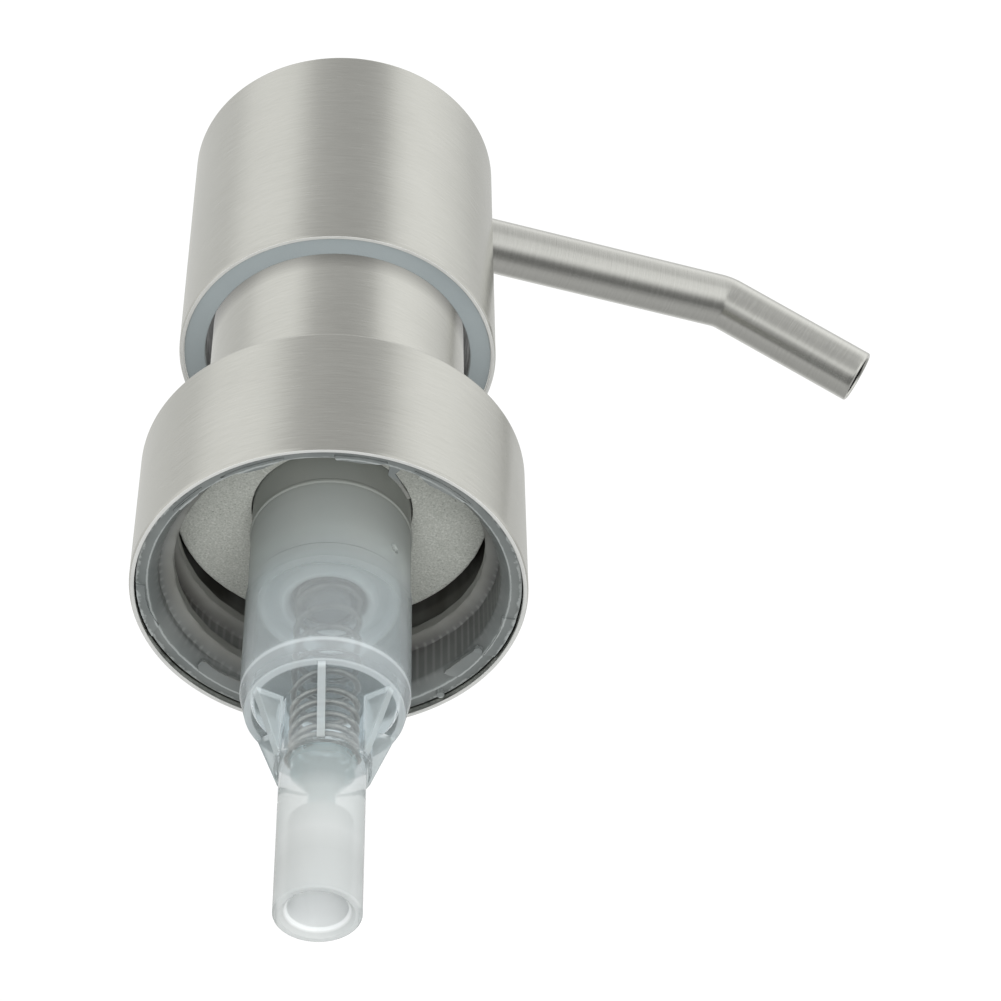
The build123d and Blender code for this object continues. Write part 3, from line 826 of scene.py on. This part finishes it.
def shaded(mat, z0, z1, stops):
    """The same material with painted shade: darker with height, as inside the head's cup."""
    m = Nodes.__new__(Nodes)
    m.mat, m.t = mat, mat.node_tree
    m.bsdf = m.t.nodes["Principled BSDF"]
    tone = m.bsdf.inputs["Base Color"].links[0].from_socket
    sep = m.new("ShaderNodeSeparateXYZ")
    m.link(m.new("ShaderNodeTexCoord").outputs["Object"], sep.inputs[0])
    mix = m.new("ShaderNodeMix", data_type="RGBA", blend_type="MULTIPLY")
    mix.inputs["Factor"].default_value = 1.0
    m.link(tone, mix.inputs["A"])
    m.link(m.ramp(m.remap(sep.outputs[2], 0.0, 1.0, z0, z1), [(p, (v, v, v)) for p, v in stops]), mix.inputs["B"])
    m.link(mix.outputs["Result"], m.bsdf.inputs["Base Color"])
    return mat


RIM_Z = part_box("head_insert")[0][2]
# painted shade: the sleeve darkens over its top 3.7 mm, where it runs up into the head's cup, and the liner's inside
# darkens just over its rim
mat_sleeve = shaded(steel("brushed_steel_sleeve"), RIM_Z - 0.0011, RIM_Z + 0.0026, [(0.0, 1.0), (0.4, 0.66), (1.0, 0.24)])
mat_liner = shaded(plastic("liner_plastic", (0.306, 0.345, 0.358), (0.336, 0.376, 0.388), rough=(0.42, 0.6), bump=0.12),
                   RIM_Z + 0.0001, RIM_Z + 0.0014, [(0.0, 1.0), (0.5, 0.30), (1.0, 0.08)])
assign(sleeve, mat_sleeve)
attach(sleeve, "pump"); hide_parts("neck_sleeve")

# ------------------------------------------------------------------ spring
lo, hi = box_mm("return_spring")
WR = 0.27
SM = hi[0] - WR
SP0, SP1 = lo[2] + WR, hi[2] - WR


def make_spring():
    closed, upper_n, lower_n = 1.2, 5.0, 3.6          # coils: each end, and the wide and the close ones
    gap = 2 * WR * 1.04
    close_pitch = 1.27
    span = (SP1 - SP0) - 2 * closed * gap
    active = upper_n + lower_n
    low_span = lower_n * close_pitch
    total = 2 * closed + active
    steps = int(total * 56)
    ring_n = 14
    pts = []
    for i in range(steps + 1):
        u = total * i / steps
        if u < closed:
            z = gap * u
        elif u > total - closed:
            z = closed * gap + span + gap * (u - (total - closed))
        else:
            w = u - closed
            if w < lower_n:
                z = closed * gap + close_pitch * w
            else:
                z = closed * gap + low_span + (span - low_span) * (w - lower_n) / upper_n
        a = 2 * math.pi * u + 0.6
        pts.append(Vector((SM * math.cos(a), SM * math.sin(a), SP0 + z)))
    bm = bmesh.new()
    grain = bm.verts.layers.float_vector.new("brush")
    uv = bm.loops.layers.uv.new("grain")
    rings = []
    dist = 0.0
    for i, p in enumerate(pts):
        d = (pts[min(i + 1, steps)] - pts[max(i - 1, 0)]).normalized()
        out = Vector((p.x, p.y, 0)).normalized()
        up = d.cross(out).normalized()
        side = up.cross(d).normalized()
        if i:
            dist += (p - pts[i - 1]).length
        r = WR * (0.9 if i in (0, steps) else 1.0)
        row = []
        for j in range(ring_n):
            t = 2 * math.pi * j / ring_n
            v = bm.verts.new((p + side * (r * math.cos(t)) + up * (r * math.sin(t))) * MM)
            v[grain] = (math.cos(t) * r * MM, math.sin(t) * r * MM, dist * MM)
            row.append(v)
        rings.append((row, dist))
    for (a, da), (b, db) in zip(rings, rings[1:]):
        for j in range(ring_n):
            k = (j + 1) % ring_n
            f = bm.faces.new((a[j], a[k], b[k], b[j]))
            for loop, u in zip(f.loops, ((j / ring_n, da), ((j + 1) / ring_n, da), ((j + 1) / ring_n, db), (j / ring_n, db))):
                loop[uv].uv = (u[0], u[1] / 130)
    bm.faces.new(list(reversed(rings[0][0])))
    bm.faces.new(rings[-1][0])
    return finish_mesh("coil_spring", bm, 50, weighted=False)


spring = make_spring()
assign(spring, mat_wire)
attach(spring, "pump"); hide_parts("return_spring")
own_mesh(spring)

# ------------------------------------------------------------------ piston, rod, ball
piston = lathe("piston_ring", [
    (3.22, -1.05, 0.1), (3.55, -1.4, 0.1), (3.85, -1.4, 0.1), (4.15, -0.45, 0.15), (4.95, -0.45, 0.15),
    (5.3, -1.4, 0.1), (5.9, -1.4, 0.1), (5.9, -0.4, 0.1), (5.6, 0.1, 0.1), (5.6, 3.3, 0.1), (5.9, 3.8, 0.1),
    (5.9, 4.8, 0.1), (5.45, 4.8, 0.1), (5.0, 2.5, 0.2), (3.65, 2.5, 0.2), (3.55, 4.0, 0.1), (2.45, 4.0, 0.1),
    (2.45, 1.79, 0.05), (3.08, 0.80, 0.05), (3.08, 0.3), (3.22, 0.0)], seg=128)
assign(piston, mat_white)
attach(piston, "piston"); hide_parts("piston")

lo, hi = box_mm("inlet_ball")
ball_r, ball_z = (hi[2] - lo[2]) / 2, (hi[2] + lo[2]) / 2
ball = lathe("steel_ball", [(ball_r * math.cos(math.radians(-90 + 180 * i / 40)) if 0 < i < 40 else 0.0,
                             ball_z + ball_r * math.sin(math.radians(-90 + 180 * i / 40))) for i in range(41)], seg=64)
ball.modifiers.clear()
assign(ball, mat_ball)
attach(ball, "inlet_ball"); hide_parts("inlet_ball")

for node, mat in (("piston_rod", mat_rod_shade), ("stem", mat_head), ("stem_guide", mat_head)):
    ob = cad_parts[node]
    for s in ob.material_slots:
        s.material = mat

# ------------------------------------------------------------------ head
lo, hi = box_mm("head_shell")
HR, H0, H1 = 14.265, lo[2], hi[2]
SPZ = 51.67
shell = lathe("head_cup", [
    (HR - WALL, H0, 0.08), (HR - 0.12, H0, 0.04), (HR, H0 + 0.26, 0.06), (HR, H1, 0.36), (0, H1), (0, H1 - WALL),
    (HR - WALL, H1 - WALL, 0.2)], seg=288)
shell.modifiers.clear()
inner = plug("hole", (HR, 0, SPZ), (1, 0, 0), 2.63, 6.0, 64)
m = shell.modifiers.new("hole", "BOOLEAN"); m.operation, m.solver, m.object = "DIFFERENCE", "EXACT", inner
head = applied("head_cup_steel", shell, [shell, inner])
for p in head.data.polygons:
    p.use_smooth = True
head.data.set_sharp_from_angle(angle=math.radians(34))
w = head.modifiers.new("normals", "WEIGHTED_NORMAL")
w.mode, w.weight, w.keep_sharp = "FACE_AREA", 60, True
assign(head, mat_steel)
edged(head, H0 + 0.02)
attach(head, "head"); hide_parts("head_shell")

SKIRT, LH0 = 11.95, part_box("head_insert")[0].z * 1000
liner = lathe("head_liner", [
    (SKIRT, LH0, 0.12), (HR - WALL - 0.02, LH0, 0.05), (HR - WALL - 0.02, H1 - WALL - 0.2, 0.1), (SKIRT, H1 - WALL - 0.2, 0.1),
    (SKIRT, 47.0, 0.3), (5.7, 47.0, 0.3), (5.7, 55.4, 0.2), (0, 55.4), (0, 48.8), (4.03, 48.8, 0.1),
    (4.03, 38.2, 0.15), (5.7, 38.2, 0.2), (5.7, 45.5, 0.4), (SKIRT, 45.5, 0.4)], seg=224)
assign(liner, mat_liner)
liner.visible_glossy = False
head.visible_glossy = False
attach(liner, "head"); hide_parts("head_insert")

# ------------------------------------------------------------------ spout
lo, hi = box_mm("spout_tube")
BEND_X, BEND, BEND_R, TIP = 38.98, math.radians(26.4), 3.0, 15.4
cut = BEND_R * math.tan(BEND / 2)
path = []
n = 34
for i in range(n + 1):
    path.append((lo[0] + (BEND_X - cut - lo[0]) * i / n, SPZ))
for i in range(1, 13):
    w = BEND * i / 12
    path.append((BEND_X - cut + BEND_R * math.sin(w), SPZ - BEND_R * (1 - math.cos(w))))
ex, ez = path[-1]
for i in range(1, 17):
    w = (TIP - cut) * i / 16
    path.append((ex + w * math.cos(BEND), ez - w * math.sin(BEND)))
spout = tube_along("bent_spout", path, 2.60, 2.20)
# the end is sawn three degrees off square
tip = Vector((path[-1][0], 0, path[-1][1]))
run = Vector((math.cos(BEND), 0, -math.sin(BEND)))
lean = Vector((-0.2248, -0.6545, -0.7219))
lean = (lean - run * lean.dot(run)).normalized()
for v in spout.data.vertices:
    q = v.co / MM - tip
    if q.dot(run) > -0.5:
        v.co -= run * ((q.dot(lean) + 2.6) * math.tan(math.radians(3.0))) * MM
assign(spout, mat_spout)
# the inner wall gets the near-black bore material: painted shade for the dark inside of the tube
spout.data.materials.append(mat_bore_shade)
for p in spout.data.polygons:
    if p.index >= 96 * (len(path) + 6) and p.index < 96 * (2 * len(path) + 5):
        p.material_index = 1
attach(spout, "head"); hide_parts("spout_tube")

# ------------------------------------------------------------------ stage
bm = bmesh.new()
side = 4.0
v = [bm.verts.new(c) for c in ((-side, -side, -0.45), (side, -side, -0.45), (side, side, -0.45), (-side, side, -0.45))]
bm.faces.new(v)
floor = finish_mesh("floor", bm, weighted=False)
fm = bpy.data.materials.new("floor")
fm.use_nodes = True
fm.node_tree.nodes["Principled BSDF"].inputs["Base Color"].default_value = (0.86, 0.86, 0.85, 1)
fm.node_tree.nodes["Principled BSDF"].inputs["Roughness"].default_value = 0.9
assign(floor, fm)
floor.visible_glossy = floor.visible_diffuse = floor.visible_transmission = False

# Studio. What the steel mirrors is a softly striped surround; the backdrop that the
# plastics show and the light on them is plain white.
world = bpy.data.worlds.new("studio")
scene.world = world
world.use_nodes = True
world.cycles.sampling_method = "NONE"
wt = world.node_tree
wt.nodes.clear()


def wn(kind, **kw):
    n = wt.nodes.new(kind)
    for k, val in kw.items():
        setattr(n, k, val)
    return n


def wmath(op, a, b=None, c=None):
    n = wn("ShaderNodeMath", operation=op)
    for i, x in enumerate((a, b, c)):
        if x is None:
            continue
        if isinstance(x, (int, float)):
            n.inputs[i].default_value = x
        else:
            wt.links.new(x, n.inputs[i])
    return n.outputs[0]


def wsmooth(value, lo, hi):
    n = wn("ShaderNodeMapRange", interpolation_type="SMOOTHSTEP")
    n.inputs["From Min"].default_value, n.inputs["From Max"].default_value = lo, hi
    n.inputs["To Min"].default_value, n.inputs["To Max"].default_value = 0.0, 1.0
    wt.links.new(value, n.inputs["Value"])
    return n.outputs["Result"]


def wramp(value, lo, hi, stops):
    n = wn("ShaderNodeValToRGB")
    n.color_ramp.interpolation = "LINEAR"
    while len(n.color_ramp.elements) < len(stops):
        n.color_ramp.elements.new(0.5)
    for e, (pos, val) in zip(n.color_ramp.elements, stops):
        e.position = (pos - lo) / (hi - lo)
        e.color = (val, val, val, 1)
    wt.links.new(wmath("DIVIDE", wmath("SUBTRACT", value, lo), hi - lo), n.inputs["Fac"])
    return n.outputs["Color"]


def wmix(fac, a, b):
    n = wn("ShaderNodeMix", data_type="FLOAT")
    for x, i in ((fac, 0), (a, 2), (b, 3)):
        if isinstance(x, (int, float)):
            n.inputs[i].default_value = x
        else:
            wt.links.new(x, n.inputs[i])
    return n.outputs[0]


FRONT = math.degrees(math.atan2(-0.6545, -0.2248))     # azimuth that faces the camera
geo = wn("ShaderNodeTexCoord")
turn = wn("ShaderNodeVectorRotate", rotation_type="Z_AXIS")
turn.inputs["Angle"].default_value = -math.radians(FRONT)
wt.links.new(geo.outputs["Generated"], turn.inputs["Vector"])
sep = wn("ShaderNodeSeparateXYZ")
wt.links.new(turn.outputs["Vector"], sep.inputs[0])
az = wmath("DEGREES", wmath("ARCTAN2", sep.outputs["Y"], sep.outputs["X"]))
el = wmath("DEGREES", wmath("ARCSINE", wmath("MINIMUM", wmath("MAXIMUM", sep.outputs["Z"], -1.0), 1.0)))
off = wmath("ABSOLUTE", az)
GAIN = 1.62
UPPER = [(-180, 0.46), (-152, 0.50), (-137, 0.475), (-121, 0.46), (-106, 0.45), (-92, 0.435), (-84, 0.455), (-74, 0.59), (-62, 0.615),
         (-47, 0.62), (-36, 0.60), (-29, 0.51), (-18, 0.375), (-9, 0.345), (2, 0.322), (14, 0.315), (24, 0.33),
         (34, 0.375), (40, 0.50), (48, 0.60), (58, 0.66), (72, 0.66), (89, 0.60), (106, 0.51), (121, 0.40), (137, 0.435),
         (152, 0.45), (180, 0.46)]
upper = wramp(az, -180, 180, UPPER)
below_front = wramp(el, -90, 30, [(-90, 0.12), (-72, 0.12), (-65, 0.20), (-56, 0.39), (-47, 0.50), (-38, 0.47), (-31, 0.38), (-23, 0.32), (-7, 0.31), (30, 0.33)])
below_side = wramp(el, -90, 30, [(-90, 0.12), (-70, 0.115), (-63, 0.135), (-57, 0.18), (-51, 0.28), (-42, 0.45), (-34, 0.59), (-25, 0.66), (-7, 0.64), (2, 0.60), (12, 0.50), (30, 0.50)])
below_back = wramp(el, -90, 30, [(-90, 0.12), (-76, 0.14), (-72, 0.24), (-64, 0.285), (-49, 0.305), (-26, 0.28), (-7, 0.27), (30, 0.42)])
near = wsmooth(wmath("ABSOLUTE", wmath("SUBTRACT", az, 7.0)), 14.0, 29.0)
low = wmix(near, below_front, below_side)
low = wmix(wsmooth(off, 92.0, 124.0), low, below_back)
shade = wmix(wsmooth(el, 6.0, 24.0), low, upper)
shade = wmix(wsmooth(el, 72.0, 88.0), shade, 0.50)
shade = wmath("MULTIPLY", shade, GAIN)
tint = wn("ShaderNodeCombineColor")
for i, k in enumerate((1.0, 1.0, 0.985)):
    wt.links.new(wmath("MULTIPLY", shade, k), tint.inputs[i])
studio = wn("ShaderNodeBackground")
wt.links.new(tint.outputs[0], studio.inputs["Color"])
studio.inputs["Strength"].default_value = 1.0


def plain(value, colour=(1, 1, 1)):
    n = wn("ShaderNodeBackground")
    n.inputs["Color"].default_value = (*colour, 1)
    n.inputs["Strength"].default_value = value
    return n


path_node = wn("ShaderNodeLightPath")


def wswitch(fac, a, b):
    n = wn("ShaderNodeMixShader")
    wt.links.new(fac, n.inputs[0])
    wt.links.new(a.outputs[0], n.inputs[1])
    wt.links.new(b.outputs[0], n.inputs[2])
    return n


surround = wswitch(path_node.outputs["Is Diffuse Ray"], studio, plain(0.62, (0.985, 1.0, 1.0)))
# through the plastic: the white backdrop straight behind, the studio all round it
ahead_dir = wn("ShaderNodeVectorMath", operation="DOT_PRODUCT")
wt.links.new(geo.outputs["Generated"], ahead_dir.inputs[0])
ahead_dir.inputs[1].default_value = (0.224816, 0.654525, 0.721841)
behind = wswitch(wsmooth(ahead_dir.outputs["Value"], 0.30, 0.72), studio, plain(0.92))
surround = wswitch(path_node.outputs["Is Transmission Ray"], surround, behind)
surround = wswitch(path_node.outputs["Is Camera Ray"], surround, plain(1.05))
out = wn("ShaderNodeOutputWorld")
wt.links.new(surround.outputs[0], out.inputs["Surface"])


def soft_light(name, place, aim, size, power):
    d = bpy.data.lights.new(name, "AREA")
    d.shape, d.size, d.energy = "DISK", size, power
    o = bpy.data.objects.new(name, d)
    scene.collection.objects.link(o)
    o.location = place
    o.rotation_euler = (Vector(aim) - Vector(place)).to_track_quat("-Z", "Y").to_euler()
    o.visible_glossy = o.visible_transmission = o.visible_camera = False
    return o


soft_light("key", (-0.45, -0.55, 0.35), (0, 0, 0.01), 0.35, 2.2)
soft_light("fill", (0.5, -0.45, -0.1), (0, 0, 0.01), 0.35, 1.2)
soft_light("low_fill", (-0.06, -0.30, -0.42), (0, 0, 0.0), 0.30, 2.4)

# ------------------------------------------------------------------ camera
cam_data = bpy.data.cameras.new("camera")
cam = bpy.data.objects.new("camera", cam_data)
scene.collection.objects.link(cam)
right = Vector((0.951388, -0.307497, -0.017487))
up = Vector((-0.210518, -0.690682, 0.691838))
ahead = Vector((0.224816, 0.654525, 0.721841))
place = Vector((-40.639, -162.5433, -163.2875)) * MM
cam.matrix_world = Matrix(((right.x, up.x, -ahead.x, place.x), (right.y, up.y, -ahead.y, place.y),
                           (right.z, up.z, -ahead.z, place.z), (0, 0, 0, 1)))
cam_data.sensor_width = 36.0
cam_data.lens = 101.4818
cam_data.clip_start, cam_data.clip_end = 0.01, 20
scene.camera = cam
scene.view_settings.view_transform = "Standard"
scene.view_settings.look = "None"

bpy.context.view_layer.update()
